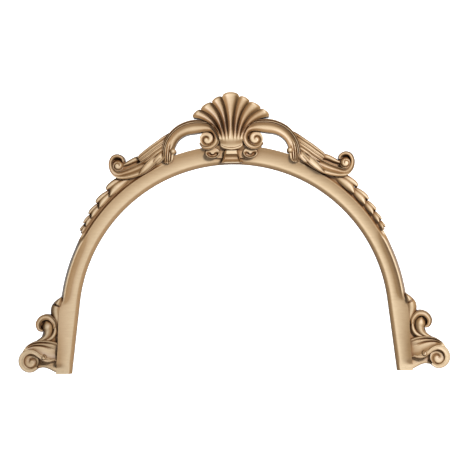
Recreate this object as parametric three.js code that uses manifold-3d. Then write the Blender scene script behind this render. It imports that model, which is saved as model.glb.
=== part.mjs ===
import * as THREE from 'three';
import Module from 'manifold-3d';

const wasm = await Module();
wasm.setup();

// Arched frieze applique, one carved piece of wood. Millimetres, +Z up.
// The flat back lies on y = 0 and the carving rises toward -Y.
// The origin is on the back, in the middle of the crown of the arch.

// Arch moulding
const ARCH_INNER_RADIUS = 260.5;
const ARCH_WIDTH = 31.5;
const ARCH_CENTRE_Z = -273;
const ARCH_HALF_ANGLE = 83;
const LEG_END_Z = -361;
const LEG_END_WIDTH = 26;
const LIP_HEIGHT = 13;
const LIP_WIDTH = 7.5;
const FILLET_HEIGHT = 22;
const FILLET_WIDTH = 3.2;
const EDGE_WIDTH = 4.8;
const EDGE_HEIGHT = 8.5;
const FILLET_LOW_Z = -228;
const FILLET_END_Z = -246;
const FILLET_TOP_ANGLE = 58;
const FILLET_FULL_ANGLE = 66;
const PLAIN_RISE = 10;
const LEG_TRIM = 4;
const STOP_LENGTH = 22;

// Shell on the crown
const SHELL_FLUTES = 7;
const SHELL_ROOT_Z = 20;
const SHELL_HALF_WIDTH = 63;
const SHELL_CORNER_Z = 65;
const SHELL_RISE = 31;
const FLUTE_DEPTH = 5.8;
const RIM_BULGE = 5;

// Scroll beside the shell
const VOLUTE_X = 41;
const VOLUTE_Z = 30;
const VOLUTE_EYE_RADIUS = 12;
const VOLUTE_TOP_RADIUS = 20.5;
const VOLUTE_END_RADIUS = 13;
const SCROLL_RISE = 29;
const SCROLL_HOLLOW = 6;

// Keystone tablet under the shell
const TABLET_TOP_Z = 9.8;
const TABLET_BOTTOM_Z = -10.5;
const TABLET_TOP_HALF = 11.5;
const TABLET_BOTTOM_HALF = 18.4;
const TABLET_RISE = 26;

// Husk chain along the outer edge
const HUSK_COUNT = 5;
const HUSK_RATIO = 0.8;
const HUSK_FIRST_TIP = 44;
const HUSK_FIRST_STEP = 5.2;
const HUSK_FIRST_LENGTH = 31;
const HUSK_FIRST_REACH = 18.5;
const HUSK_RISE = 24;
const HUSK_GROUND_HEIGHT = 13;

// Foot scroll
const FOOT_EYE_X = 339.5;
const FOOT_EYE_Z = -338.4;
const FOOT_EYE_RADIUS = 12.6;
const FOOT_PLATE_HEIGHT = 9;
const FOOT_GROUND_HEIGHT = 15.5;
const CROWN_PLATE_HEIGHT = 18;

const { lerp, smoothstep, degToRad } = THREE.MathUtils;
const solids = [];

function solidOf(points, faces) {
  const seen = new Map();
  const vertices = [];
  const remap = points.map(([x, y, z]) => {
    const key = [x, y, z].map((v) => Math.round(v * 1e4)).join(' ');
    if (!seen.has(key)) {
      seen.set(key, vertices.length / 3);
      vertices.push(x, y, z);
    }
    return seen.get(key);
  });
  const triangles = [];
  faces.forEach(([a, b, c]) => {
    const [i, j, k] = [remap[a], remap[b], remap[c]];
    if (i !== j && j !== k && k !== i) {
      triangles.push(i, j, k);
    }
  });
  const mesh = new wasm.Mesh({
    numProp: 3,
    vertProperties: new Float32Array(vertices),
    triVerts: new Uint32Array(triangles),
  });
  return new wasm.Manifold(mesh);
}

// A carved strip: stations along its course, a section across it, walls down to the flat back.
function strip(stations, across, section, side = 1) {
  const us = side > 0 ? across : across.map((u) => -u).reverse();
  const wide = us.length;
  const points = [];
  const faces = [];
  const quad = (a, b, c, d) => faces.push([a, b, c], [a, c, d]);
  stations.forEach((s) => {
    us.forEach((u) => {
      const reach = u * s.half;
      points.push([s.x + s.nx * reach, -section(u * side, s), s.z + s.nz * reach]);
    });
    [-1, 1].forEach((u) => {
      const reach = u * s.half;
      points.push([s.x + s.nx * reach, 0, s.z + s.nz * reach]);
    });
  });
  const row = wide + 2;
  const last = stations.length - 1;
  for (let i = 0; i < last; i += 1) {
    const a = i * row;
    const b = a + row;
    for (let j = 0; j < wide - 1; j += 1) {
      quad(a + j, a + j + 1, b + j + 1, b + j);
    }
    quad(a + wide - 1, a + wide + 1, b + wide + 1, b + wide - 1);
    quad(a + wide + 1, a + wide, b + wide, b + wide + 1);
    quad(a + wide, a, b, b + wide);
  }
  const end = last * row;
  for (let j = 0; j < wide - 1; j += 1) {
    faces.push([wide, j + 1, j], [end + wide, end + j, end + j + 1]);
  }
  faces.push([wide, wide + 1, wide - 1], [end + wide, end + wide - 1, end + wide + 1]);
  return solidOf(points, faces);
}

// Stations on a spline through a few chosen rows of x, z, half width and rise.
function course(rows, steps, side = 1) {
  const line = new THREE.SplineCurve(rows.map((r) => new THREE.Vector2(side * r[0], r[1])));
  const girth = new THREE.SplineCurve(rows.map((r) => new THREE.Vector2(r[2], r[3])));
  const stations = [];
  for (let i = 0; i <= steps; i += 1) {
    const t = i / steps;
    const at = line.getPoint(t);
    const dir = line.getTangent(t);
    const size = girth.getPoint(t);
    stations.push({ t, x: at.x, z: at.y, nx: dir.y, nz: -dir.x, half: size.x, rise: size.y });
  }
  return stations;
}

// A round or oval boss with a profile of [fraction of radius, height] pairs.
function boss(x, z, radius, profile, sectors = 18, tall = 1) {
  const points = [[x, -profile[0][1], z], [x, 0, z]];
  const faces = [];
  const rings = profile.length - 1;
  const loop = rings + 1;
  for (let i = 0; i < sectors; i += 1) {
    const angle = (2 * Math.PI * i) / sectors;
    for (let k = 1; k <= rings; k += 1) {
      const r = radius * profile[k][0];
      points.push([x + r * Math.cos(angle), -profile[k][1], z + tall * r * Math.sin(angle)]);
    }
    points.push([x + radius * Math.cos(angle), 0, z + tall * radius * Math.sin(angle)]);
  }
  for (let i = 0; i < sectors; i += 1) {
    const a = 2 + i * loop;
    const b = 2 + ((i + 1) % sectors) * loop;
    faces.push([0, a, b]);
    for (let k = 0; k < rings; k += 1) {
      faces.push([a + k, a + k + 1, b + k + 1], [a + k, b + k + 1, b + k]);
    }
    faces.push([1, b + rings, a + rings]);
  }
  return solidOf(points, faces);
}

// A sheet of relief over a grid, closed by walls and a flat back.
function relief(rows, cols, pointAt) {
  const points = [];
  const faces = [];
  const wide = cols + 1;
  const back = (rows + 1) * wide;
  const quad = (a, b, c, d) => faces.push([a, b, c], [a, c, d]);
  for (let pass = 0; pass < 2; pass += 1) {
    for (let i = 0; i <= rows; i += 1) {
      for (let j = 0; j <= cols; j += 1) {
        const [x, z, height] = pointAt(i / rows, j / cols);
        points.push([x, pass ? 0 : -height, z]);
      }
    }
  }
  for (let i = 0; i < rows; i += 1) {
    for (let j = 0; j < cols; j += 1) {
      const a = i * wide + j;
      quad(a, a + 1, a + wide + 1, a + wide);
      quad(back + a, back + a + wide, back + a + wide + 1, back + a + 1);
    }
    const left = i * wide;
    const right = left + cols;
    quad(left, left + wide, back + left + wide, back + left);
    quad(right, back + right, back + right + wide, right + wide);
  }
  for (let j = 0; j < cols; j += 1) {
    const top = rows * wide + j;
    quad(j, back + j, back + j + 1, j + 1);
    quad(top, top + 1, back + top + 1, back + top);
  }
  return solidOf(points, faces);
}

// A flat ground plate with a closed outline of [x, z] points.
function plate(outline, height, side = 1) {
  const shape = new THREE.Shape(outline.map(([x, z]) => new THREE.Vector2(side * x, z)));
  const block = new THREE.ExtrudeGeometry(shape, { depth: height, bevelEnabled: false });
  const spots = block.getAttribute('position');
  const points = [];
  const faces = [];
  for (let i = 0; i < spots.count; i += 1) {
    points.push([spots.getX(i), -spots.getZ(i), spots.getY(i)]);
    if (i % 3 === 2) {
      faces.push([i - 2, i - 1, i]);
    }
  }
  return solidOf(points, faces);
}

// Sections across a strip, as height over the back.
const COVED = [-1, -0.86, -0.5, 0, 0.5, 0.86, 1];
const NARROW = [-1, -0.75, 0, 0.75, 1];
const hollow = (u, depth) => depth * Math.max(0, 1 - (u / 0.86) ** 2);
const edge = (u) => 1.2 * (u * u > 0.99);
const coved = (depth) => (u, s) => s.rise - hollow(u, Math.min(depth, s.half * 0.6)) - edge(u);
const rounded = (fall) => (u, s) => s.rise - fall * u * u;

// Arch moulding: a low rounded lip, a hollow rising outward to a fillet, a steep outer edge.
// Beside the carving the hollow runs on to the edge, and each leg ends in a flat stop.
function archStations() {
  const stations = [];
  const legTop = ARCH_CENTRE_Z + ARCH_INNER_RADIUS * Math.cos(degToRad(ARCH_HALF_ANGLE));
  const legDrop = legTop - LEG_END_Z + LEG_TRIM;
  const legLength = legDrop / Math.sin(degToRad(ARCH_HALF_ANGLE));
  const drops = [1, 1 - 0.35 * STOP_LENGTH / legLength, 1 - STOP_LENGTH / legLength, 0.66, 0.33];
  const put = (angle, drop) => {
    const a = degToRad(angle);
    const run = drop * legLength * Math.sign(angle);
    const width = lerp(ARCH_WIDTH, LEG_END_WIDTH, smoothstep(drop, 0.1, 0.8));
    const radius = ARCH_INNER_RADIUS + width / 2;
    const left = (1 - drop) * legLength;
    const z = ARCH_CENTRE_Z + radius * Math.cos(a) - run * Math.sin(a);
    stations.push({
      x: radius * Math.sin(a) + run * Math.cos(a),
      z,
      nx: -Math.sin(a),
      nz: -Math.cos(a),
      half: width / 2,
      stop: drop > 0 ? 1 - smoothstep(left, STOP_LENGTH * 0.3, STOP_LENGTH) : 0,
      plain: Math.max(
        smoothstep(-z, -FILLET_LOW_Z, -FILLET_END_Z),
        1 - smoothstep(Math.abs(angle), FILLET_TOP_ANGLE, FILLET_FULL_ANGLE),
      ),
    });
  };
  drops.forEach((drop) => put(-ARCH_HALF_ANGLE, drop));
  const arcs = 42;
  for (let i = 0; i <= arcs; i += 1) {
    put(lerp(-ARCH_HALF_ANGLE, ARCH_HALF_ANGLE, i / arcs), 0);
  }
  drops.reverse().forEach((drop) => put(ARCH_HALF_ANGLE, drop));
  return stations;
}

const ARCH_STEPS = [0, 1.6, 4.2, LIP_WIDTH, 13, 16.5, 19.5, 22, ARCH_WIDTH - FILLET_WIDTH - EDGE_WIDTH,
  ARCH_WIDTH - EDGE_WIDTH, ARCH_WIDTH];
const share = (x, from, to) => THREE.MathUtils.clamp((x - from) / (to - from), 0, 1);
function archSection(u, s) {
  const width = 2 * s.half;
  const inside = (1 - u) * s.half;
  const filletAt = width - FILLET_WIDTH - EDGE_WIDTH;
  const lip = LIP_HEIGHT - 4.2 * (1 - share(inside, 0, 4.2)) ** 2;
  const run = share(inside, LIP_WIDTH, filletAt);
  const arc = (1 - Math.sqrt(1 - 0.94 * run * run)) / (1 - Math.sqrt(0.06));
  const rise = (FILLET_HEIGHT - LIP_HEIGHT) * (0.45 * run ** 1.6 + 0.55 * arc);
  const fall = (FILLET_HEIGHT - EDGE_HEIGHT) * share(inside, width - EDGE_WIDTH, width);
  const plain = PLAIN_RISE * share(inside, LIP_WIDTH, width) ** 1.5;
  const shape = lerp(lip + rise - fall, lip + plain, s.plain);
  return lerp(shape, LIP_HEIGHT - 0.6, s.stop * smoothstep(inside, 2, 6));
}
const archAcross = ARCH_STEPS.map((inside) => 1 - (2 * inside) / ARCH_WIDTH).reverse();
solids.push(strip(archStations(), archAcross, archSection));

// Shell: arrises curve out from the root to the scalloped rim, flutes are hollow between them.
const ARRIS_RIM = [[0, 1], [14.5, 98.5], [31, 89], [49.5, 77.5], [SHELL_HALF_WIDTH, SHELL_CORNER_Z]];
function arris(order, s) {
  const rim = ARRIS_RIM[Math.abs(order)];
  const sign = Math.sign(order);
  const step = Math.abs(order);
  const root = new THREE.Vector2(sign * step * 4.4, SHELL_ROOT_Z);
  const knee = new THREE.Vector2(sign * (step * 7.4 - 4.6), lerp(76, 62, (step - 1) / 3));
  const tip = new THREE.Vector2(sign * rim[0], rim[1]);
  return new THREE.QuadraticBezierCurve(root, knee, tip).getPoint(s);
}
function shellPoint(s, v) {
  const flute = Math.min(SHELL_FLUTES - 1, Math.floor(v * SHELL_FLUTES + 1e-6));
  const w = v * SHELL_FLUTES - flute;
  const middle = (SHELL_FLUTES - 1) / 2;
  const orders = [flute - middle - (flute <= middle), flute - middle + (flute >= middle)];
  const [from, to] = orders.map((order) => arris(order, s));
  const at = from.clone().lerp(to, w);
  const hump = 4 * w * (1 - w);
  const chord = to.clone().sub(from);
  const out = new THREE.Vector2(-chord.y, chord.x).normalize();
  const bulge = RIM_BULGE * (flute === middle ? 1.8 : 1) * s ** 5 * Math.sqrt(hump);
  at.addScaledVector(out, bulge);
  const body = SHELL_RISE + 3 * smoothstep(s, 0.55, 1) - 5.5 * (1 - smoothstep(s, 0, 0.14));
  const depth = FLUTE_DEPTH * smoothstep(s, 0.06, 0.4);
  return [at.x, at.y, body - depth * hump ** 0.7];
}
solids.push(relief(9, SHELL_FLUTES * 4, shellPoint));

// Keystone tablet, flared below, its face rolling back at the bottom, and the lip over it.
solids.push(relief(5, 4, (s, v) => {
  const half = lerp(TABLET_BOTTOM_HALF, TABLET_TOP_HALF, s ** 0.55);
  const z = lerp(TABLET_BOTTOM_Z, TABLET_TOP_Z, s);
  const roll = 6.5 * (1 - smoothstep(s, 0, 0.55));
  return [lerp(-half, half, v), z, TABLET_RISE - roll - 2 * Math.abs(2 * v - 1) ** 4];
}));
const LIP_ROWS = [[-19, 24, 2.2, 24], [-15, 16.6, 2.8, 25.5], [0, 12.8, 2.8, 26.5], [15, 16.6, 2.8, 25.5],
  [19, 24, 2.2, 24]];
solids.push(strip(course(LIP_ROWS, 12), NARROW, rounded(2.4)));

// Ground behind the crown carving.
solids.push(plate([
  [-50, 12], [-24, -2], [24, -2], [50, 12], [50, 30], [44, 58], [-44, 58], [-50, 30],
], CROWN_PLATE_HEIGHT));

// Scroll rows: a spiral round the eye, then the sweep over the opening down to the foot.
function scrollRows() {
  const rows = [];
  const turns = 6;
  const widths = [2.2, 3, 3.8, 4.2, 4.6, 5.8, 9];
  for (let i = 0; i <= turns; i += 1) {
    const angle = degToRad(lerp(330, 90, i / turns));
    const radius = lerp(VOLUTE_END_RADIUS, VOLUTE_TOP_RADIUS, i / turns);
    const x = VOLUTE_X + radius * Math.cos(angle);
    const z = VOLUTE_Z + radius * Math.sin(angle);
    rows.push([x, z, widths[i], SCROLL_RISE - 2 + 2 * (i / turns)]);
  }
  rows.push([60, 50.3, 11.6, SCROLL_RISE], [75, 47.5, 11, SCROLL_RISE], [88, 41, 10.4, SCROLL_RISE - 1]);
  rows.push([98, 31, 10, SCROLL_RISE - 2], [104.5, 18, 10.2, SCROLL_RISE - 2]);
  rows.push([106.5, 5, 10.6, SCROLL_RISE - 2], [107, -3, 10, SCROLL_RISE - 2.5]);
  rows.push([107, -8, 7.4, SCROLL_RISE - 4], [107, -11, 3, SCROLL_RISE - 6]);
  return rows;
}

// Cup under each volute, wider than tall.
const CUP = [31.5, 6.5, 12.5];
const CUP_TALL = 0.74;
const SCROLL_KNOB = [97.6, 9.6, 5.2];

// Acanthus leaf: outer blade with a blunt end, inner blade running into the curl, two side lobes.
const OUTER_BLADE = [[99, 34, 9, 27], [109, 26.5, 10, 27], [119, 19, 10, 27], [129, 12, 10, 27],
  [139, 4.5, 10, 26], [148, -1.5, 9, 25], [153, -5, 7.5, 24]];
const INNER_BLADE = [[112, 8, 8, 25], [128, -4, 9.5, 25.5], [148, -17, 10, 25.5], [169, -25.5, 8.8, 25.5],
  [188, -28.8, 6.2, 26], [198.6, -21.5, 4.2, 27], [202, -9.5, 3.2, 27], [198, 0.6, 3, 27],
  [190, 3.6, 2.8, 27], [182.5, 0.4, 2.6, 26], [180, -6, 2.2, 25]];
const CURL_EYE = [190.2, -12.6, 9.6];
const CURL_GROUND = [190, -11, 12.5];
const CURL_GROUND_HEIGHT = 16;
const SIDE_LOBES = [
  [[112, 8, 5, 25], [120, -2, 6, 26.5], [126, -8, 5, 26.5], [130, -12.5, 1.6, 24]],
  [[122, 2, 5, 25.5], [136, -11.5, 6, 27], [147, -22, 4.4, 27], [154, -28.5, 1.4, 25]],
];
const LEAF_PLATE = [[97, 2], [112, 30], [148, 2], [160, -4.5], [178, -11], [192, -30], [186, -44],
  [172, -42], [150, -30], [120, -14]];
const LEAF_PLATE_HEIGHT = 14;
const BUD = [[150, -1, 4.6, 18], [160, -2.5, 4.6, 19], [172, -8, 3.8, 20], [181, -12, 2.4, 20]];

// Foot: tongue, hook scroll, leaf that spreads from the leg, and the coil of the large volute.
const TONGUE = [[291, -284, 7, 16], [296.5, -264, 8.6, 19], [297, -250, 8.4, 22], [292, -239.5, 5.2, 23],
  [287.5, -232, 1.6, 21.5]];
const HOOK = [[299, -284, 3, 20.5], [300, -274, 4, 22], [308, -265.4, 4.6, 23], [319, -265.6, 4.6, 24],
  [326.4, -274.5, 4.2, 24.5], [325, -284, 3.4, 24], [319, -287.6, 2, 22.5]];
const HOOK_BULB = [[313.5, -272.5, 2.5, 21], [312.4, -276, 6.2, 24], [311.4, -281.5, 7.8, 25.5],
  [311, -288, 7.4, 25], [313, -295, 6, 23.5], [319, -301, 4.6, 22], [329, -305.5, 2.6, 21]];
const HOOK_STRAND = [[298.5, -282, 2.6, 20], [300, -292, 3.4, 20.5], [306, -300, 3.4, 20.5],
  [317, -305, 2.4, 20]];
const FOOT_LEAF = [[288, -326, 13, 16.5], [298, -323.5, 15.5, 19.5], [308, -320, 16, 22],
  [318, -316, 13.6, 23.5], [328, -314, 10.4, 24.5], [338, -314.2, 7, 25.5], [346.5, -317.5, 3.6, 26],
  [352, -322, 1.2, 25]];
const FOOT_COIL = [[300, -335.6, 1.8, 20], [308.5, -337.6, 2.6, 22], [317, -336, 3, 23.5],
  [324.6, -330, 3.4, 24.5], [331.6, -324.4, 4, 25.5], [340.5, -321.8, 4.4, 26.5],
  [349.6, -325.5, 4.8, 27], [354.6, -334, 5, 28], [353.6, -344, 4.8, 28],
  [346.6, -351.4, 4.4, 27], [337, -352.8, 3.6, 26], [329.6, -348, 2.6, 25]];
const FOOT_CURL = [318, -331.5, 5];
const FOOT_WEB = [[287, -356, 5.2, 12.6], [298, -353.5, 5, 12.6], [309, -349, 4, 12.4],
  [319, -346.5, 3.4, 12.4], [329, -348, 3, 13]];
const FOOT_PLATE = [[284, -300], [284, -360], [297, -359], [309, -351], [319, -348.5], [327, -349.5],
  [335, -352], [346, -349], [353, -332], [345, -314], [322, -300]];
const FOOT_GROUND = [[282, -230], [284, -312], [322, -308], [329, -304], [322, -297], [319, -287],
  [325, -276], [320, -267], [304, -262], [299, -246], [288, -231]];

const ringed = (height, drop) => [
  [0, height - drop], [0.16, height - drop], [0.4, height], [0.62, height - 0.4], [0.82, height - drop],
  [1, height - 1],
];
const dished = (height, drop) => [
  [0, height - drop], [0.55, height - drop + 0.6], [0.82, height], [1, height - 1.5],
];
const level = (height) => [[0, height], [1, height]];
const domed = (height) => [[0, height], [0.5, height - 0.8], [0.85, height - 2.4], [1, height - 4]];

// Husks: each has a broad leaf on the moulding's edge and a narrow outer lobe.
function huskSolids(side) {
  const out = [];
  let tip = HUSK_FIRST_TIP;
  const outer = ARCH_INNER_RADIUS + ARCH_WIDTH;
  for (let k = 0; k < HUSK_COUNT; k += 1) {
    const scale = HUSK_RATIO ** k;
    const reach = HUSK_FIRST_REACH * scale;
    const turn = THREE.MathUtils.radToDeg((HUSK_FIRST_LENGTH * scale) / outer);
    const at = (angle, radius, half, rise) => {
      const a = degToRad(angle);
      return [radius * Math.sin(a), ARCH_CENTRE_Z + radius * Math.cos(a), half, rise];
    };
    const rise = HUSK_RISE - 0.6 * k;
    out.push(strip(course([
      at(tip - 1.3 * turn, outer + 0.18 * reach, 0.26 * reach, rise - 6),
      at(tip - 0.75 * turn, outer + 0.2 * reach, 0.36 * reach, rise - 2),
      at(tip - 0.35 * turn, outer + 0.17 * reach, 0.34 * reach, rise),
      at(tip - 0.08 * turn, outer + 0.06 * reach, 0.18 * reach, rise + 0.8),
      at(tip + 0.04 * turn, outer + 0.02 * reach, 0.04 * reach + 0.3, rise),
    ], 6, side), NARROW, rounded(2.6 * scale + 0.6), side));
    out.push(strip(course([
      at(tip - 1.25 * turn, outer + 0.5 * reach, 0.2 * reach, rise - 7),
      at(tip - 0.75 * turn, outer + 0.64 * reach, 0.26 * reach, rise - 3.5),
      at(tip - 0.35 * turn, outer + 0.7 * reach, 0.25 * reach, rise - 2),
      at(tip - 0.15 * turn, outer + 0.7 * reach, 0.17 * reach, rise - 1.6),
      at(tip - 0.06 * turn, outer + 0.69 * reach, 0.06 * reach + 0.3, rise - 2),
    ], 5, side), NARROW, rounded(2 * scale + 0.6), side));
    tip += HUSK_FIRST_STEP * scale;
  }
  const from = HUSK_FIRST_TIP - 8;
  const ground = [];
  for (let i = 0; i <= 8; i += 1) {
    const angle = lerp(from, tip - HUSK_FIRST_STEP * HUSK_RATIO ** HUSK_COUNT, i / 8);
    const a = degToRad(angle);
    const half = 2 + 0.28 * HUSK_FIRST_REACH * HUSK_RATIO ** (HUSK_COUNT * i / 8);
    const radius = outer - 4 + half;
    const x = side * radius * Math.sin(a);
    const z = ARCH_CENTRE_Z + radius * Math.cos(a);
    ground.push({ x, z, nx: -Math.sin(a), nz: -side * Math.cos(a), half, rise: HUSK_GROUND_HEIGHT });
  }
  out.push(strip(ground, [-1, 1], (u, s) => s.rise, side));
  return out;
}

for (const side of [1, -1]) {
  const carve = (rows, steps, across, section) => {
    solids.push(strip(course(rows, steps, side), across, section, side));
  };
  const turn = ([x, z, radius], profile, sectors, tall) => {
    solids.push(boss(side * x, z, radius, profile, sectors, tall));
  };
  carve(scrollRows(), 32, COVED, coved(SCROLL_HOLLOW));
  turn([VOLUTE_X, VOLUTE_Z - 0.6, VOLUTE_EYE_RADIUS], ringed(26.5, 2.6), 16);
  turn(SCROLL_KNOB, domed(28), 10);
  turn(CUP, dished(24, 5), 16, CUP_TALL);
  carve(OUTER_BLADE, 8, COVED, coved(4));
  carve(INNER_BLADE, 22, COVED, coved(5));
  turn(CURL_EYE, domed(26.5), 14);
  turn(CURL_GROUND, level(CURL_GROUND_HEIGHT), 14);
  SIDE_LOBES.forEach((rows) => carve(rows, 6, NARROW, coved(2.5)));
  carve(BUD, 5, NARROW, rounded(3));
  solids.push(...huskSolids(side));
  carve(TONGUE, 8, NARROW, rounded(4.5));
  carve(HOOK, 16, NARROW, coved(1.8));
  carve(HOOK_BULB, 10, NARROW, rounded(5));
  carve(HOOK_STRAND, 6, NARROW, rounded(2.2));
  carve(FOOT_LEAF, 12, COVED, coved(4));
  carve(FOOT_COIL, 24, NARROW, coved(2));
  turn([FOOT_EYE_X, FOOT_EYE_Z, FOOT_EYE_RADIUS], ringed(24, 2.6), 16);
  turn(FOOT_CURL, domed(23.5), 10);
  carve(FOOT_WEB, 6, NARROW, rounded(1.6));
  solids.push(plate(FOOT_PLATE, FOOT_PLATE_HEIGHT, side));
  solids.push(plate(FOOT_GROUND, FOOT_GROUND_HEIGHT, side));
  solids.push(plate(LEAF_PLATE, LEAF_PLATE_HEIGHT, side));
}

// One piece is one solid.
const TRIM_BOX = [[-400, LEG_END_Z - 60], [400, LEG_END_Z - 60], [400, LEG_END_Z], [-400, LEG_END_Z]];
const below = plate(TRIM_BOX, 60);
const carved = wasm.Manifold.union(solids).subtract(below).asOriginal().simplify(0.25);

function geometryOf(solid) {
  const mesh = solid.getMesh();
  const flat = new THREE.BufferGeometry();
  const spots = new Float32Array(mesh.numVert * 3);
  for (let i = 0; i < mesh.numVert; i += 1) {
    spots.set(mesh.vertProperties.subarray(i * mesh.numProp, i * mesh.numProp + 3), i * 3);
  }
  flat.setAttribute('position', new THREE.BufferAttribute(spots, 3));
  flat.setIndex(new THREE.BufferAttribute(new Uint32Array(mesh.triVerts), 1));
  flat.computeVertexNormals();
  return flat;
}

const wood = new THREE.MeshStandardMaterial({ color: 0xb08c60, roughness: 0.7, metalness: 0 });
wood.name = 'wood';
const applique = new THREE.Mesh(geometryOf(carved), wood);
applique.name = 'arch_applique';

const part = new THREE.Group();
part.name = 'arched_frieze_applique';
part.add(applique);

export default part;
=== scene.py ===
import math

import bmesh
import bpy
import numpy as np
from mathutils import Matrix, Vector


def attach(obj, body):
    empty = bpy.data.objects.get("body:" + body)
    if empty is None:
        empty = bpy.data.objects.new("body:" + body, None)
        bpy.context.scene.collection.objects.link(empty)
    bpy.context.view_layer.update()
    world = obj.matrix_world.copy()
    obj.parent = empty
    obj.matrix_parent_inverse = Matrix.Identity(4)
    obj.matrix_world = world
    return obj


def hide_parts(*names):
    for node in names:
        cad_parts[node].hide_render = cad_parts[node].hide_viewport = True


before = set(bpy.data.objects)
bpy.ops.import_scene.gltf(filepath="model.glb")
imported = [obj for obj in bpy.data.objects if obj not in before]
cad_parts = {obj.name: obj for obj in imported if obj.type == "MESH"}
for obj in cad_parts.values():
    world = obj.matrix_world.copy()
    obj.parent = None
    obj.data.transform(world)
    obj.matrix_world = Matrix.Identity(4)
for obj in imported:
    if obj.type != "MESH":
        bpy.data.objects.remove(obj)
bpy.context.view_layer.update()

# Carved arch applique. Sizes in millimetres, turned into metres when a mesh is made.
# The flat back lies on y = 0, the carving rises toward -y, z is up.
MM = 0.001
WELD_REACH = 1e-6
CREASE_ANGLE = 38.0

ARCH_INNER_RADIUS = 260.5
ARCH_WIDTH = 31.5
ARCH_CENTRE_Z = -273.0
ARCH_HALF_ANGLE = 83.0
LEG_END_Z = -361.0
LEG_END_WIDTH = 26.0
LEG_TRIM = 4.0
TRIM_HALF = 400.0
TRIM_SIZE = 60.0
STOP_LENGTH = 22.0
STOP_DROP = 0.6
LIP_HEIGHT = 13.0
LIP_WIDTH = 7.5
LIP_DROP = 5.0
FILLET_HEIGHT = 22.0
FILLET_WIDTH = 3.2
EDGE_BAND = 8.0
OUTER_EDGE_HEIGHT = 8.5
PLAIN_RISE = 10.0
FOOT_EASE = 0.25

# Where the fillet comes in below the husks and dies out above the foot, in degrees and depth below the crown.
FILLET_TOP_ANGLE, FILLET_FULL_ANGLE = 58.0, 66.0
FILLET_LOW_DEPTH, FILLET_END_DEPTH, FOOT_FULL_DEPTH = 228.0, 246.0, 250.0

# Crevice between the moulding and the leaves and husks.
CREVICE_DEPTH = 6.0
CREVICE_FROM, CREVICE_TO = 23.5, 28.0
CREVICE_START_ANGLES = (20.0, 30.0)
CREVICE_END_ANGLES = (60.0, 65.0)

SHELL_FLUTES = 7
SHELL_ROOT_Z = 20.0
SHELL_HALF_WIDTH = 63.0
SHELL_CORNER_Z = 65.0
SHELL_RISE = 31.0
FLUTE_DEPTH = 5.8
RIM_BULGE = 5.0

VOLUTE_X = 41.0
VOLUTE_Z = 30.0
VOLUTE_EYE = (VOLUTE_X, VOLUTE_Z - 0.6, 12.0)
VOLUTE_TOP_RADIUS = 20.5
VOLUTE_END_RADIUS = 13.0
SCROLL_RISE = 29.0

TABLET_TOP_Z = 9.8
TABLET_BOTTOM_Z = -10.5
TABLET_TOP_HALF = 11.5
TABLET_BOTTOM_HALF = 18.4
TABLET_RISE = 26.0

HUSK_COUNT = 5
HUSK_RATIO = 0.8
HUSK_FIRST_TIP = 44.0
HUSK_FIRST_STEP = 5.2
HUSK_FIRST_LENGTH = 31.0
HUSK_FIRST_REACH = 18.5
HUSK_RISE = 24.0
HUSK_GROUND_HEIGHT = 13.0
HUSK_GROUND_LEAD = 8.0
HUSK_GROUND_POINTS = 25

FOOT_EYE = (339.5, -338.4, 12.6)
FOOT_PLATE_HEIGHT = 12.0
FOOT_GROUND_HEIGHT = 13.4
CROWN_PLATE_HEIGHT = 18.0
LEAF_PLATE_HEIGHT = 14.0
CURL_GROUND_HEIGHT = 16.0


def smooth(x, low, high):
    t = np.clip((np.asarray(x, float) - low) / (high - low), 0, 1)
    return t * t * (3 - 2 * t)


def groove(u, at, width):
    """1 on the line u = at, falling to 0 within width of it."""
    return np.exp(-((u - at) / width) ** 2)


def hollow(u, low, high):
    """1 in the middle of the span from low to high, 0 at its ends and outside it."""
    f = np.clip((u - low) / (high - low), 0, 1)
    return 4 * f * (1 - f)


def edge_round(u, drop=1.4):
    return drop * np.clip((np.abs(u) - 0.9) / 0.1, 0, 1) ** 2


# Courses and meshes

def spline(rows, steps):
    """Even steps on a spline through the rows, and its slope."""
    rows = np.asarray(rows, float)
    pad = np.vstack([rows[:1], rows, rows[-1:]])
    t = np.linspace(0, len(rows) - 1, steps + 1)
    i = np.minimum(t.astype(int), len(rows) - 2)
    f = (t - i)[:, None]
    p0, p1, p2, p3 = (pad[i + k] for k in range(4))
    a = (p2 - p0) / 2
    b = (p3 - p1) / 2
    c2 = -3 * p1 + 3 * p2 - 2 * a - b
    c3 = 2 * p1 - 2 * p2 + a + b
    return p1 + f * (a + f * (c2 + f * c3)), a + f * (2 * c2 + f * 3 * c3)


def course(rows, steps, side=1):
    """Stations along a strip from rows of x, z, half width and rise."""
    at, slope = spline(rows, steps)
    dx = side * slope[:, 0]
    dz = slope[:, 1]
    size = np.hypot(dx, dz)
    return {
        "x": side * at[:, 0], "z": at[:, 1], "nx": dz / size, "nz": -dx / size,
        "half": at[:, 2, None], "rise": at[:, 3, None], "t": np.linspace(0, 1, steps + 1)[:, None],
    }


def mesh_object(name, points, faces):
    mesh = bpy.data.meshes.new(name)
    mesh.from_pydata((np.asarray(points) * MM).tolist(), [], faces)
    obj = bpy.data.objects.new(name, mesh)
    bpy.context.scene.collection.objects.link(obj)
    return obj


def grid_faces(rows, cols, start=0):
    i, j = np.meshgrid(np.arange(rows - 1), np.arange(cols - 1), indexing="ij")
    a = start + i * cols + j
    return np.stack([a, a + 1, a + cols + 1, a + cols], -1).reshape(-1, 4).tolist()


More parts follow.
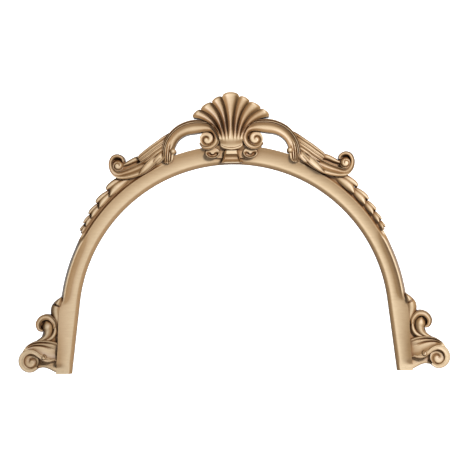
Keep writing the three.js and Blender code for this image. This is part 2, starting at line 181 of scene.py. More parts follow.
def strip(name, st, section, across=29, side=1):
    """A carved strip with walls down to the flat back."""
    us = np.sin(np.linspace(-1, 1, across) * math.pi / 2)
    us = 0.55 * us + 0.45 * np.linspace(-1, 1, across)
    height = np.broadcast_to(section(us[None, :] * side, st), (len(st["x"]), across))
    reach = us[None, :] * st["half"] * (1 + st.get("wave", 0.0) * smooth(us[None, :] * side, 0, 1))
    x = st["x"][:, None] + st["nx"][:, None] * reach
    z = st["z"][:, None] + st["nz"][:, None] * reach
    front = np.stack([x, -height, z], -1)
    back = front[:, [0, -1]].copy()
    back[:, :, 1] = 0
    n = len(st["x"])
    points = np.vstack([front.reshape(-1, 3), back.reshape(-1, 3)])
    faces = grid_faces(n, across)
    base = n * across
    for i in range(n - 1):
        a, b = i * across, (i + 1) * across
        p, q = base + 2 * i, base + 2 * i + 2
        faces += [[a + across - 1, p + 1, q + 1, b + across - 1], [p + 1, p, q, q + 1], [p, a, b, q]]
    last = (n - 1) * across
    faces.append([base + 1] + list(range(across - 1, -1, -1)) + [base])
    end = base + 2 * (n - 1)
    faces.append([end] + list(range(last, last + across)) + [end + 1])
    return mesh_object(name, points, faces)


def relief(name, rows, cols, point_at):
    """A sheet of relief over a grid, closed by walls and a flat back."""
    s, v = np.meshgrid(np.linspace(0, 1, rows + 1), np.linspace(0, 1, cols + 1), indexing="ij")
    x, z, height = point_at(s, v)
    front = np.stack([x, -height, z], -1).reshape(-1, 3)
    wide = cols + 1
    rim = list(range(wide)) + [wide * (i + 1) - 1 for i in range(1, rows + 1)]
    rim += [rows * wide + j for j in range(cols - 1, -1, -1)] + [wide * i for i in range(rows - 1, 0, -1)]
    back = front[rim]
    back[:, 1] = 0
    base = len(front)
    around = len(rim)
    faces = grid_faces(rows + 1, wide)
    for i in range(around):
        j = (i + 1) % around
        faces.append([rim[i], base + i, base + j, rim[j]])
    faces.append(list(range(base + around - 1, base - 1, -1)))
    return mesh_object(name, np.vstack([front, back]), faces)


def boss(name, x, z, radius, profile, sectors=48, rings=14, tall=1.0, side=1):
    """A round or oval boss; profile gives height over the fraction of the radius and the turn."""
    turn = np.arange(sectors) / sectors
    fraction = np.linspace(0, 1, rings + 1)[1:]
    f, a = np.meshgrid(fraction, turn, indexing="ij")
    height = np.broadcast_to(profile(f, a), f.shape)
    px = side * (x + radius * f * np.cos(2 * math.pi * a))
    pz = z + tall * radius * f * np.sin(2 * math.pi * a)
    front = np.stack([px, -height, pz], -1).reshape(-1, 3)
    foot = front[-sectors:].copy()
    foot[:, 1] = 0
    middle = float(np.mean(profile(np.full(sectors, 1e-6), turn)))
    points = np.vstack([[[side * x, -middle, z], [side * x, 0, z]], front, foot])
    faces = []
    base = 2 + rings * sectors
    for i in range(sectors):
        j = (i + 1) % sectors
        faces.append([0, 2 + i, 2 + j])
        for k in range(rings):
            p = 2 + k * sectors
            q = p + sectors
            faces.append([p + i, q + i, q + j, p + j])
        faces.append([1, base + j, base + i])
    if side < 0:
        faces = [face[::-1] for face in faces]
    return mesh_object(name, points, faces)


def plate(name, outline, height, side=1):
    """A flat plate with a closed outline of x, z points, counter-clockwise from the front."""
    flat = [(side * x, z) for x, z in outline]
    if side < 0:
        flat.reverse()
    n = len(flat)
    points = [[x, -height, z] for x, z in flat] + [[x, 0, z] for x, z in flat]
    faces = [list(range(n)), list(range(2 * n - 1, n - 1, -1))]
    faces += [[(i + 1) % n, i, n + i, n + (i + 1) % n] for i in range(n)]
    return mesh_object(name, points, faces)


# Arch moulding: rounded inner lip, hollow rising to a fillet or running on plain, flat stop at each leg end.

def arch_stations(arcs=240, leg_steps=56):
    half = math.radians(ARCH_HALF_ANGLE)
    drop = ARCH_CENTRE_Z + ARCH_INNER_RADIUS * math.cos(half) - LEG_END_Z + LEG_TRIM
    leg = drop / math.sin(half)
    down = np.linspace(0, 1, leg_steps + 1)[1:]
    arc = np.linspace(-half, half, arcs + 1)
    angle = np.concatenate([np.full(leg_steps, -half), arc, np.full(leg_steps, half)])
    fall = np.concatenate([down[::-1], np.zeros(arcs + 1), down])
    run = fall * leg * np.sign(angle)
    width = ARCH_WIDTH + (LEG_END_WIDTH - ARCH_WIDTH) * smooth(fall, 0.1, 0.8)
    radius = ARCH_INNER_RADIUS + width / 2
    left = np.where(fall > 0, (1 - fall) * leg, 1e3)
    z = ARCH_CENTRE_Z + radius * np.cos(angle) - run * np.sin(angle)
    degrees = np.degrees(np.abs(angle))
    below_husks = smooth(degrees, FILLET_TOP_ANGLE, FILLET_FULL_ANGLE)
    beside_husks = smooth(degrees, *CREVICE_START_ANGLES) * (1 - smooth(degrees, *CREVICE_END_ANGLES))
    return {
        "x": radius * np.sin(angle) + run * np.cos(angle), "z": z,
        "nx": -np.sin(angle), "nz": -np.cos(angle), "half": width[:, None] / 2,
        "stop": (1 - smooth(left, 0.45 * STOP_LENGTH, STOP_LENGTH))[:, None],
        "foot": smooth(-z, FILLET_LOW_DEPTH, FOOT_FULL_DEPTH)[:, None],
        "plain": np.maximum(smooth(-z, FILLET_LOW_DEPTH, FILLET_END_DEPTH), 1 - below_husks)[:, None],
        "crevice": beside_husks[:, None],
    }


def arch_section(u, st):
    """Low rounded lip, hollow rising outward to a fillet, steep outer edge; plain at the foot."""
    wide = 2 * st["half"]
    e = (1 - u) * st["half"]
    lip = LIP_HEIGHT - LIP_DROP * np.clip(1 - e / LIP_WIDTH, 0, 1) ** 2
    fillet_at = wide - EDGE_BAND
    run = np.clip((e - LIP_WIDTH) / (fillet_at - LIP_WIDTH), 0, 1)
    rise = FILLET_HEIGHT - LIP_HEIGHT
    round_part = (1 - np.sqrt(1 - 0.94 * run ** 2)) / (1 - math.sqrt(0.06))
    hollow_rise = rise * (0.45 * run ** 1.6 + 0.55 * round_part)
    edge = np.clip((e - fillet_at - FILLET_WIDTH) / (wide - fillet_at - FILLET_WIDTH), 0, 1)
    fall = (FILLET_HEIGHT - OUTER_EDGE_HEIGHT) * edge ** 0.85
    crevice = CREVICE_DEPTH * st["crevice"] * smooth(e, CREVICE_FROM, CREVICE_TO)
    out = np.clip((e - LIP_WIDTH) / (wide - LIP_WIDTH), 0, 1)
    plain_rise = PLAIN_RISE * out ** 1.5 * (1 - FOOT_EASE * st["foot"]) - crevice
    shape = lip + hollow_rise - fall
    shape = shape + (lip + plain_rise - shape) * st["plain"]
    return shape + (LIP_HEIGHT - STOP_DROP - shape) * st["stop"] * smooth(e, 2.0, 6.0)


# Shell: arrises curve out from the root to the scalloped rim, hollow flutes between them.
ARRIS_RIM = np.array([[14.5, 98.5], [31, 89], [49.5, 77.5], [SHELL_HALF_WIDTH, SHELL_CORNER_Z]])


def arris(order, s):
    step = np.abs(order).astype(int)
    sign = np.sign(order)
    rim = ARRIS_RIM[step - 1]
    knee_x = sign * (step * 7.4 - 4.6)
    knee_z = 76 + (62 - 76) * (step - 1) / 3
    x = (1 - s) ** 2 * sign * step * 4.4 + 2 * s * (1 - s) * knee_x + s * s * sign * rim[..., 0]
    root_z = SHELL_ROOT_Z - 5.0 * (1 - (step / 4) ** 2)
    z = (1 - s) ** 2 * root_z + 2 * s * (1 - s) * knee_z + s * s * rim[..., 1]
    return x, z


def shell_point(s, v):
    flute = np.minimum(SHELL_FLUTES - 1, np.floor(v * SHELL_FLUTES + 1e-6))
    w = v * SHELL_FLUTES - flute
    middle = (SHELL_FLUTES - 1) / 2
    x0, z0 = arris(flute - middle - (flute <= middle), s)
    x1, z1 = arris(flute - middle + (flute >= middle), s)
    hump = np.clip(4 * w * (1 - w), 0, 1)
    span = np.hypot(x1 - x0, z1 - z0)
    bulge = RIM_BULGE * np.where(flute == middle, 1.8, 1.0) * s ** 5 * np.sqrt(hump)
    x = x0 + (x1 - x0) * w - bulge * (z1 - z0) / span
    z = z0 + (z1 - z0) * w + bulge * (x1 - x0) / span
    body = SHELL_RISE + 3 * smooth(s, 0.55, 1) - 5.5 * (1 - smooth(s, 0, 0.14))
    depth = FLUTE_DEPTH * smooth(s, 0.06, 0.4)
    inner = (w > 0) & (w < 1) | ((v > 0.01) & (v < 0.99))
    crest = 1.3 * smooth(s, 0.1, 0.3) * (groove(w, 0, 0.1) + groove(w, 1, 0.1)) * inner
    lip = 1.8 * smooth(s, 0.955, 1)
    return x, z, body - depth * hump ** 0.62 + crest - lip


def tablet_point(s, v):
    """Small flared tablet with a hollowed face between side borders and a rim along the bottom."""
    half = TABLET_BOTTOM_HALF + (TABLET_TOP_HALF - TABLET_BOTTOM_HALF) * s ** 0.55
    across = np.abs(2 * v - 1)
    x = (2 * v - 1) * half
    z = TABLET_BOTTOM_Z + (TABLET_TOP_Z - TABLET_BOTTOM_Z) * s
    roll = 6.0 * hollow(s, 0.06, 0.72) * (1 - 0.6 * smooth(across, 0.7, 0.9))
    return x, z, TABLET_RISE - roll - 1.0 * groove(across, 0.8, 0.06) - 2.0 * smooth(across, 0.9, 1)


# Scroll beside the shell: a spiral round the eye, then a sweep over the opening to the foot.

def scroll_rows():
    widths = [2.2, 3, 3.8, 4.2, 4.6, 5.8, 9]
    rows = []
    for i, half in enumerate(widths):
        f = i / (len(widths) - 1)
        angle = math.radians(330 + (90 - 330) * f)
        radius = VOLUTE_END_RADIUS + (VOLUTE_TOP_RADIUS - VOLUTE_END_RADIUS) * f
        rows.append([VOLUTE_X + radius * math.cos(angle), VOLUTE_Z + radius * math.sin(angle), half,
                     SCROLL_RISE - 2 + 2 * f])
    sweep = [[60, 50.3, 11.6, 0], [75, 47.5, 11, 0], [88, 41, 10.4, 1], [98, 31, 10, 2], [104.5, 18, 10.2, 2],
             [106.5, 5, 10.6, 2], [107, -3, 10, 2.5], [107, -8, 7.4, 4], [107, -11, 3, 6]]
    return rows + [[x, z, half, SCROLL_RISE - drop] for x, z, half, drop in sweep]


def scroll_section(u, st):
    """Two fine grooves by the outer rim, a broad hollow, and strands that part toward the foot."""
    broad = smooth(st["half"], 4.5, 8.5)
    foot = smooth(st["t"], 0.66, 0.84)
    end = smooth(st["t"], 0.9, 0.97)
    depth = np.minimum(4.5, 0.6 * st["half"]) * (1 - 0.6 * foot)
    cove = depth * hollow(u, -0.42 - 0.4 * (1 - broad), 0.94) ** 0.8
    lines = broad * (1 - end) * (2.4 * groove(u, -0.78, 0.06) + 2.8 * groove(u, -0.5, 0.06))
    parting = groove(u, -0.18, 0.07) + groove(u, 0.16, 0.07) + groove(u, 0.52, 0.08)
    strands = foot * (1 - end) * 2.2 * parting
    lobes = end * 2.0 * (groove(u, -0.36, 0.08) + groove(u, 0.3, 0.08))
    return st["rise"] - cove - lines - strands - lobes - 3.0 * foot * u ** 4 - edge_round(u)


def spoon(depth):
    """A hollow between raised rims."""
    def section(u, st):
        sink = np.minimum(depth, st["half"] * 0.6)
        return st["rise"] - sink * hollow(u, -0.82, 0.82) ** 0.8 - edge_round(u)
    return section


def crowned(fall):
    """A rounded back that falls away to both edges."""
    return lambda u, st: st["rise"] - fall * np.abs(u) ** 2.4


def fluted(lines, depth):
    """Hollow flutes between the lines given across the strip."""
    def section(u, st):
        cut = sum(hollow(u, a, b) ** 0.7 * (b - a) for a, b in zip(lines, lines[1:]))
        return st["rise"] - depth * cut - edge_round(u)
    return section


LIP_ROWS = [[-19, 24, 2.2, 24], [-15, 16.6, 2.8, 25.5], [0, 12.8, 2.8, 26.5], [15, 16.6, 2.8, 25.5],
            [19, 24, 2.2, 24]]
CUP = (31.5, 6.5, 12.5)
CUP_TALL = 0.74
CUP_RISE = 21.5
SCROLL_KNOB = (97.6, 9.6, 5.2)
CROWN_PLATE = [[-24, -2], [24, -2], [50, 12], [50, 30], [44, 58], [-44, 58], [-50, 30], [-50, 12]]

# Acanthus leaf: outer blade with a blunt end, inner blade running into the curl, side lobes.
OUTER_BLADE = [[99, 34, 9, 20], [109, 26.5, 10, 24], [119, 19, 10, 26.5], [129, 12, 10, 27],
               [139, 4.5, 10, 26], [148, -1.5, 9, 25], [153, -5, 7.5, 24]]
INNER_BLADE = [[112, 8, 8, 21], [128, -4, 9.5, 25], [148, -17, 10, 25.5], [169, -25.5, 8.8, 25.5],
               [188, -28.8, 6.2, 26], [198.6, -21.5, 4.2, 27], [202, -9.5, 3.2, 27], [198, 0.6, 3, 27],
               [190, 3.6, 2.8, 27], [182.5, 0.4, 2.6, 26], [180, -6, 2.2, 25]]
BLADE_LINES = [-0.96, -0.6, -0.1, 0.4, 0.95]
CURL_EYE = (190.2, -12.6, 9.6)
CURL_GROUND = (190, -11, 12.5)
SIDE_LOBES = [
    [[112, 8, 5, 25], [120, -2, 6, 26.5], [126, -8, 5, 26.5], [130, -12.5, 1.6, 24]],
    [[122, 2, 5, 25.5], [136, -11.5, 6, 27], [147, -22, 4.4, 27], [154, -28.5, 1.4, 25]],
]
LEAF_PLATE = [[97, 2], [120, -14], [150, -30], [172, -42], [186, -44], [192, -30], [178, -11],
              [160, -4.5], [148, 2], [112, 30]]
BUD = [[150, -1, 4.6, 18], [160, -2.5, 4.6, 19], [172, -8, 3.8, 20], [181, -12, 2.4, 20]]

# Foot: tongue, hook scroll, leaf that spreads from the leg, and the coil of the large volute.
TONGUE = [[291, -284, 7, 16], [296.5, -264, 8.6, 19], [297, -250, 8.4, 22], [292, -239.5, 5.2, 23],
          [287.5, -232, 1.6, 21.5]]
HOOK = [[299, -284, 3, 20.5], [300, -274, 4, 22], [308, -265.4, 4.6, 23], [319, -265.6, 4.6, 24],
        [326.4, -274.5, 4.2, 24.5], [325, -284, 3.4, 24], [319, -287.6, 2, 22.5]]
HOOK_BULB = [[313.5, -271.5, 2.5, 22], [312.4, -275.5, 6.6, 25], [311.4, -281.5, 8, 26.5],
             [311, -288, 7.4, 25], [313, -295, 6, 23.5], [319, -301, 4.6, 22], [329, -305.5, 2.6, 21]]
HOOK_STRAND = [[298.5, -282, 2.6, 20], [300, -292, 3.4, 20.5], [306, -300, 3.4, 20.5], [317, -305, 2.4, 20]]
FOOT_LEAF = [[288, -326, 13, 16.5], [298, -323.5, 15.5, 19.5], [308, -320, 16, 22], [318, -316, 13.6, 23.5],
             [328, -314, 10.4, 24.5], [338, -314.2, 7, 25.5], [346.5, -317.5, 3.6, 26], [352, -322, 1.2, 25]]
FOOT_COIL = [[300, -335.6, 1.8, 20], [308.5, -337.6, 2.6, 22], [317, -336, 3, 23.5], [324.6, -330, 3.4, 24.5],
             [331.6, -324.4, 4, 25.5], [340.5, -321.8, 4.4, 26.5],
             [349.6, -325.5, 4.8, 27], [354.6, -334, 5, 28], [353.6, -344, 4.8, 28], [346.6, -351.4, 4.4, 27],
             [337, -352.8, 3.6, 26], [329.6, -348, 2.6, 25]]
FOOT_CURL = (318, -331.5, 5.0)
FOOT_WEB = [[287, -356, 5.2, 12.6], [298, -353.5, 5, 12.6], [309, -349, 4, 12.4], [319, -346.5, 3.4, 12.4],
            [329, -348, 3, 13]]
FOOT_PLATE = [[288, -300], [288, -360], [297, -359], [309, -351], [319, -348.5], [327, -349.5],
              [335, -352], [346, -349], [353, -332], [345, -314], [322, -300]]
FOOT_GROUND = [[284, -230], [288, -312], [322, -308], [329, -304], [322, -297], [319, -287], [325, -276],
               [320, -267], [304, -262], [299, -246], [288, -231]]


def leaf_section(u, st):
    """Broad hollow and a raised lower rim, drawn out into a plain rounded rim in the curl."""
    broad = smooth(st["half"], 3.5, 8)
    depth = np.minimum(4.5, 0.65 * st["half"])
    wide = depth * hollow(u, -0.9, 0.2 + 0.66 * (1 - broad)) ** 0.8
    rim = broad * 1.8 * hollow(u, 0.24, 0.96)
    return st["rise"] - wide - rim - edge_round(u)


def foot_leaf_section(u, st):
    """Grooves along the upper edge, a broad smooth hollow, a raised scalloped lower rim."""
    taper = smooth(st["half"], 3, 8)
    base = smooth(st["t"], 0.12, 0.5)
    lines = taper * base * (2.6 * groove(u, -0.62, 0.09) + 2.4 * groove(u, -0.16, 0.08))
    broad = taper * 5.4 * hollow(u, -0.9, 0.86) ** 0.8
    return st["rise"] - lines - broad - 2.0 * smooth(-u, 0.8, 1.0) - edge_round(u)


def coil_section(u, st):
    return st["rise"] - 1.0 * hollow(u, -0.7, 0.62) - 1.6 * np.abs(u) ** 3 - edge_round(u, 2.0)


def tongue_section(u, st):
    fold = 3.0 * smooth(st["t"], 0.62, 0.655) * (1 - smooth(st["t"], 0.84, 1))
    crease = 2.4 * groove(st["t"], 0.61, 0.025)
    return st["rise"] + 1.5 - 6.0 * np.abs(u) ** 2.2 + fold - crease


def spiral(height, wind, start, way, depth, tilt):
    """An eye whose cord winds in to the middle, leaning back at the top by tilt."""
    def profile(f, turn):
        across = np.abs((f * wind + way * turn + start) % 1.0 - 0.5) * 2
        lean = tilt * f * np.sin(2 * math.pi * turn)
        return height - lean - depth * across ** 3 * smooth(f, 0.06, 0.3)
    return profile


def domed(height, fall=4.0):
    return lambda f, turn: height - fall * f ** 2.4


def snail(height, fall, wind=1.4, depth=1.6, tilt=1.5):
    """A dome with a groove that winds in to the middle."""
    def profile(f, turn):
        line = np.abs((f * wind + turn + 0.15) % 1.0 - 0.5) * 2
        lean = tilt * f * np.sin(2 * math.pi * turn)
        return height - fall * f ** 3 - lean - depth * groove(line, 1, 0.3) * smooth(f, 0.15, 0.35)
    return profile


def cup_profile(f, turn):
    """A hollow toward the bottom, with a raised lower rim."""
    low = smooth(-np.sin(2 * math.pi * turn), -0.5, 0.5)
    rim = 2.5 * low * smooth(f, 0.6, 0.86)
    return CUP_RISE + rim - 4.0 * low * hollow(f, 0.2, 0.82) - 1.6 * smooth(f, 0.92, 1)


def husks(side):
    """Two rows of overlapping scales that dwindle down the outside of the moulding."""
    made = []
    tip = HUSK_FIRST_TIP
    outer = ARCH_INNER_RADIUS + ARCH_WIDTH

    def at(angle, radius, half, rise):
        a = math.radians(angle)
        return [radius * math.sin(a), ARCH_CENTRE_Z + radius * math.cos(a), half, rise]

    for k in range(HUSK_COUNT):
        scale = HUSK_RATIO ** k
        reach = HUSK_FIRST_REACH * scale
        turn = math.degrees(HUSK_FIRST_LENGTH * scale / outer)
        rise = HUSK_RISE - 0.6 * k
        leaf = [at(tip - 1.3 * turn, outer + 0.18 * reach, 0.26 * reach, rise - 6),
                at(tip - 0.75 * turn, outer + 0.2 * reach, 0.36 * reach, rise - 2),
                at(tip - 0.35 * turn, outer + 0.17 * reach, 0.34 * reach, rise),
                at(tip - 0.08 * turn, outer + 0.06 * reach, 0.18 * reach, rise + 0.8),
                at(tip + 0.04 * turn, outer + 0.02 * reach, 0.04 * reach + 0.3, rise)]
        lobe = [at(tip - 1.25 * turn, outer + 0.5 * reach, 0.2 * reach, rise - 7),
                at(tip - 0.75 * turn, outer + 0.64 * reach, 0.26 * reach, rise - 3.5),
                at(tip - 0.35 * turn, outer + 0.7 * reach, 0.25 * reach, rise - 2),
                at(tip - 0.15 * turn, outer + 0.7 * reach, 0.17 * reach, rise - 1.6),
                at(tip - 0.06 * turn, outer + 0.69 * reach, 0.06 * reach + 0.3, rise - 2)]
        made.append(strip("husk", course(leaf, 30, side), crowned(2.6 * scale + 0.6), 17, side))
        made.append(strip("husk", course(lobe, 24, side), crowned(2 * scale + 0.6), 13, side))
        tip += HUSK_FIRST_STEP * scale
    last = tip - HUSK_FIRST_STEP * HUSK_RATIO ** HUSK_COUNT
    f = np.linspace(0, 1, HUSK_GROUND_POINTS)
    a = np.radians(HUSK_FIRST_TIP - HUSK_GROUND_LEAD + (last - HUSK_FIRST_TIP + HUSK_GROUND_LEAD) * f)
    half = 2 + 0.28 * HUSK_FIRST_REACH * HUSK_RATIO ** (HUSK_COUNT * f)
    radius = outer - 4 + half
    ground = {
        "x": side * radius * np.sin(a), "z": ARCH_CENTRE_Z + radius * np.cos(a),
        "nx": -np.sin(a), "nz": -side * np.cos(a), "half": half[:, None],
    }
    made.append(strip("husk ground", ground, lambda u, st: HUSK_GROUND_HEIGHT + 0 * u, 3, side))
    return made


def side_solids(side):
    leaf = course(FOOT_LEAF, 84, side)
    leaf["wave"] = 0.1 * np.abs(np.sin(leaf["t"] * 9.0)) * smooth(leaf["t"], 0.2, 0.4)
    made = [
        strip("scroll", course(scroll_rows(), 136, side), scroll_section, 49, side),
        boss("eye", *VOLUTE_EYE, spiral(26.5, 1.07, 0.43, 1, 3.2, 2.0), 64, 22, side=side),
        boss("scroll knob", *SCROLL_KNOB, domed(28, 3.0), 36, 10, side=side),
        boss("cup", *CUP, cup_profile, 48, 16, CUP_TALL, side),
        strip("outer blade", course(OUTER_BLADE, 50, side), fluted(BLADE_LINES, 4.0), 41, side),
        strip("inner blade", course(INNER_BLADE, 124, side), leaf_section, 33, side),
        boss("curl eye", *CURL_EYE, snail(26.5, 5), 48, 14, side=side),
        boss("curl ground", *CURL_GROUND, lambda f, turn: CURL_GROUND_HEIGHT + 0 * f, 40, 1, side=side),
        strip("bud", course(BUD, 24, side), crowned(3), 13, side),
        strip("tongue", course(TONGUE, 60, side), tongue_section, 21, side),
        strip("hook", course(HOOK, 80, side), spoon(2.2), 19, side),
        strip("hook bulb", course(HOOK_BULB, 50, side), crowned(5.0), 25, side),
        strip("hook strand", course(HOOK_STRAND, 30, side), crowned(2.2), 13, side),
        strip("foot leaf", leaf, foot_leaf_section, 49, side),
        strip("foot coil", course(FOOT_COIL, 116, side), coil_section, 25, side),
        boss("foot eye", *FOOT_EYE, spiral(22.5, 0.95, -0.1, -1, 2.6, 3.0), 64, 22, side=side),
        boss("foot curl", *FOOT_CURL, snail(25, 3, 1.2), 36, 10, side=side),
        strip("foot web", course(FOOT_WEB, 30, side), crowned(1.6), 15, side),
        plate("foot plate", FOOT_PLATE, FOOT_PLATE_HEIGHT, side),
        plate("foot ground", FOOT_GROUND, FOOT_GROUND_HEIGHT, side),
        plate("leaf plate", LEAF_PLATE, LEAF_PLATE_HEIGHT, side),
    ]
    made += [strip("side lobe", course(rows, 30, side), spoon(1.6), 17, side) for rows in SIDE_LOBES]
    return made + husks(side)


def unite(base, others, operation="UNION"):
    group = bpy.data.collections.new("join")
    bpy.context.scene.collection.children.link(group)
    for obj in others:
        group.objects.link(obj)
    join = base.modifiers.new("join", "BOOLEAN")
    join.operation = operation
    join.solver = "MANIFOLD"
    join.operand_type = "COLLECTION"
    join.collection = group
    graph = bpy.context.evaluated_depsgraph_get()
    mesh = bpy.data.meshes.new_from_object(base.evaluated_get(graph))
    base.modifiers.clear()
    base.data = mesh
    for obj in others:
        bpy.data.objects.remove(obj)
    bpy.data.collections.remove(group)


applique = strip("carved_applique", arch_stations(), arch_section, 45)
parts = [
    relief("shell", 60, SHELL_FLUTES * 16, shell_point),
    relief("tablet", 30, 40, tablet_point),
    strip("lip", course(LIP_ROWS, 50), crowned(2.4), 15),
    plate("crown plate", CROWN_PLATE, CROWN_PLATE_HEIGHT),
]
for side in (1, -1):
    parts += side_solids(side)
unite(applique, parts)
low = LEG_END_Z - TRIM_SIZE
trim_outline = [[-TRIM_HALF, low], [TRIM_HALF, low], [TRIM_HALF, LEG_END_Z], [-TRIM_HALF, LEG_END_Z]]
trim = plate("trim", trim_outline, TRIM_SIZE)
trim.location.y = MM
unite(applique, [trim], "DIFFERENCE")


def weld(obj, reach):
    """Merge points closer than reach in metres, drop the slivers and the folded pairs of faces."""
    work = bmesh.new()
    work.from_mesh(obj.data)
    bmesh.ops.triangulate(work, faces=work.faces)
    bmesh.ops.remove_doubles(work, verts=work.verts, dist=reach)
    bmesh.ops.dissolve_degenerate(work, edges=work.edges, dist=reach)
    work.verts.index_update()
    corners = {}
    for face in work.faces:
        corners.setdefault(frozenset(v.index for v in face.verts), []).append(face)
    folded = [face for pair in corners.values() if len(pair) > 1 for face in pair]
    bmesh.ops.delete(work, geom=folded, context="FACES")
    work.to_mesh(obj.data)
    work.free()


weld(applique, WELD_REACH)
for polygon in applique.data.polygons:
    polygon.use_smooth = True
applique.data.set_sharp_from_angle(angle=math.radians(CREASE_ANGLE))


# Finish: bare light-brown wood with grain, and painted shade that darkens the slopes and the hollows. Each
# painted shade is a list of ramp stops, of position and colour, over how far the surface faces the front, or
# over the openness within a reach.
WHITE = (1, 1, 1, 1)
GRAIN_DARK = (0.44, 0.33, 0.206, 1)
GRAIN_LIGHT = (0.49, 0.376, 0.242, 1)
GRAIN_STRETCH = (6.0, 40.0, 60.0)
# Painted shade on slopes: the less a surface faces the front, the darker it is, as a frontal light would
# shade it.
SLOPE_PAINTED_SHADE = [(0.25, (0.24, 0.165, 0.1, 1)), (1.0, WHITE), (0.6, (0.46, 0.345, 0.22, 1)),
              (0.88, (0.54, 0.44, 0.32, 1))]
# Painted shade in crevices (8 mm reach) and hollows (40 mm reach): the more closed in a spot is, the darker
# it is.
HOLLOW_PAINTED_SHADES = [(0.008, [(0.2, (0.8, 0.62, 0.42, 1)), (0.95, WHITE)]),
                (0.04, [(0.35, (0.5, 0.365, 0.235, 1)), (1.0, WHITE)])]


def wood_material():
    mat = bpy.data.materials.new("wood")
    mat.use_nodes = True
    nodes = mat.node_tree.nodes
    links = mat.node_tree.links
    shader = nodes["Principled BSDF"]
    shader.inputs["Roughness"].default_value = 0.5
    shader.inputs["Specular IOR Level"].default_value = 0.45
    place = nodes.new("ShaderNodeTexCoord")
    stretch = nodes.new("ShaderNodeMapping")
    stretch.inputs["Scale"].default_value = GRAIN_STRETCH
    links.new(place.outputs["Object"], stretch.inputs["Vector"])
    grain = nodes.new("ShaderNodeTexNoise")
    grain.inputs["Scale"].default_value = 6.0
    grain.inputs["Detail"].default_value = 6.0
    grain.inputs["Roughness"].default_value = 0.6
    links.new(stretch.outputs["Vector"], grain.inputs["Vector"])
    tone = nodes.new("ShaderNodeValToRGB")
    tone.color_ramp.elements[0].position = 0.3
    tone.color_ramp.elements[0].color = GRAIN_DARK
    tone.color_ramp.elements[1].position = 0.7
    tone.color_ramp.elements[1].color = GRAIN_LIGHT
    links.new(grain.outputs["Fac"], tone.inputs["Fac"])
    facing = nodes.new("ShaderNodeSeparateXYZ")
    links.new(place.outputs["Normal"], facing.inputs["Vector"])
    front = nodes.new("ShaderNodeMath")
    front.operation = "ABSOLUTE"
    links.new(facing.outputs["Y"], front.inputs[0])
    # Painted shade multiplied into the grain colour: first by slope, then by occlusion in crevices and
    # hollows.
    painted_shades = [(front.outputs["Value"], SLOPE_PAINTED_SHADE)]
    for reach, stops in HOLLOW_PAINTED_SHADES:
        shade = nodes.new("ShaderNodeAmbientOcclusion")
        shade.samples = 8
        shade.inputs["Distance"].default_value = reach
        painted_shades.append((shade.outputs["AO"], stops))
    colour = tone.outputs["Color"]
    for mask, stops in painted_shades:
        ramp = nodes.new("ShaderNodeValToRGB")
        for stop, (position, shade_colour) in zip(ramp.color_ramp.elements, stops):
            stop.position = position
            stop.color = shade_colour
        for position, shade_colour in stops[2:]:
            ramp.color_ramp.elements.new(position).color = shade_colour
        links.new(mask, ramp.inputs["Fac"])
        mix = nodes.new("ShaderNodeMix")
        mix.data_type = "RGBA"
        mix.blend_type = "MULTIPLY"
        mix.inputs["Factor"].default_value = 1.0
        links.new(colour, mix.inputs["A"])
        links.new(ramp.outputs["Color"], mix.inputs["B"])
        colour = mix.outputs["Result"]
    links.new(colour, shader.inputs["Base Color"])
    return mat


applique.data.materials.clear()
applique.data.materials.append(wood_material())
for polygon in applique.data.polygons:
    polygon.material_index = 0

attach(applique, "root")
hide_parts("arch_applique")


# Studio, in metres: pale sweep, soft light from the upper right, the photograph's viewpoint.
FLOOR_Z = -0.9
STAGE_HALF = 5.0
WALL_GLOW = 0.95
AIR_GLOW = 0.14
KEY_PLACE = (0.8, -1.3, 0.55)
KEY_AIM = (0, 0, -0.13)
KEY_SIZE = 0.4
KEY_POWER = 50
CAMERA_PLACE = (0.03, -2.2, -0.131)
CAMERA_AIM = (0.004, 0, -0.131)
CAMERA_LENS = 100
CAMERA_ROLL = -0.7


def plain_material(name, tone, glow):
    mat = bpy.data.materials.new(name)
    mat.use_nodes = True
    inputs = mat.node_tree.nodes["Principled BSDF"].inputs
    inputs["Base Color"].default_value = (tone, tone, tone, 1)
    inputs["Roughness"].default_value = 0.9
    inputs["Emission Color"].default_value = (1, 1, 1, 1)
    inputs["Emission Strength"].default_value = glow
    return mat


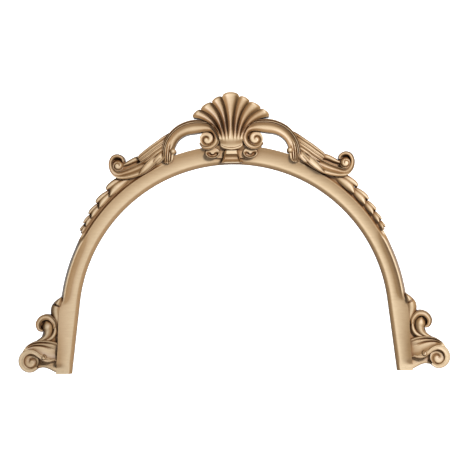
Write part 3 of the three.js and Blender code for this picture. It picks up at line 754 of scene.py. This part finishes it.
def backdrop():
    turn = np.linspace(0.05, math.pi / 2, 16)
    depth = np.concatenate([1.0 + 0.8 * np.sin(turn), [1.8]])
    height = np.concatenate([0.8 * (1 - np.cos(turn)), [4.0]]) + FLOOR_Z
    points = [[x, y, z] for y, z in zip(depth, height) for x in (-STAGE_HALF, STAGE_HALF)]
    faces = [[2 * i, 2 * i + 1, 2 * i + 3, 2 * i + 2] for i in range(len(depth) - 1)]
    return mesh_object("backdrop", np.array(points) / MM, faces)


wall = backdrop()
wall.data.materials.append(plain_material("pale_wall", 0.9, WALL_GLOW))
corners = [[-STAGE_HALF, -STAGE_HALF, FLOOR_Z], [STAGE_HALF, -STAGE_HALF, FLOOR_Z],
           [STAGE_HALF, 1.05, FLOOR_Z], [-STAGE_HALF, 1.05, FLOOR_Z]]
floor = mesh_object("pale_floor", np.array(corners) / MM, [[0, 1, 2, 3]])
floor.data.materials.append(plain_material("pale_floor", 0.8, 0.0))

world = bpy.data.worlds.new("studio")
bpy.context.scene.world = world
world.use_nodes = True
world.node_tree.nodes["Background"].inputs["Color"].default_value = (1, 1, 1, 1)
world.node_tree.nodes["Background"].inputs["Strength"].default_value = AIR_GLOW


def area_light(name, place, target, size, power):
    data = bpy.data.lights.new(name, "AREA")
    data.shape = "DISK"
    data.size = size
    data.energy = power
    lamp = bpy.data.objects.new(name, data)
    lamp.location = place
    lamp.rotation_euler = (Vector(target) - Vector(place)).to_track_quat("-Z", "Y").to_euler()
    bpy.context.scene.collection.objects.link(lamp)


area_light("key", KEY_PLACE, KEY_AIM, KEY_SIZE, KEY_POWER)

camera_data = bpy.data.cameras.new("camera")
camera_data.lens = CAMERA_LENS
camera_data.sensor_width = 36
camera = bpy.data.objects.new("camera", camera_data)
camera.location = CAMERA_PLACE
camera.rotation_euler = (Vector(CAMERA_AIM) - Vector(CAMERA_PLACE)).to_track_quat("-Z", "Y").to_euler()
camera.rotation_euler.rotate_axis("Z", math.radians(CAMERA_ROLL))
bpy.context.scene.collection.objects.link(camera)
bpy.context.scene.camera = camera

bpy.context.scene.view_settings.view_transform = "Standard"
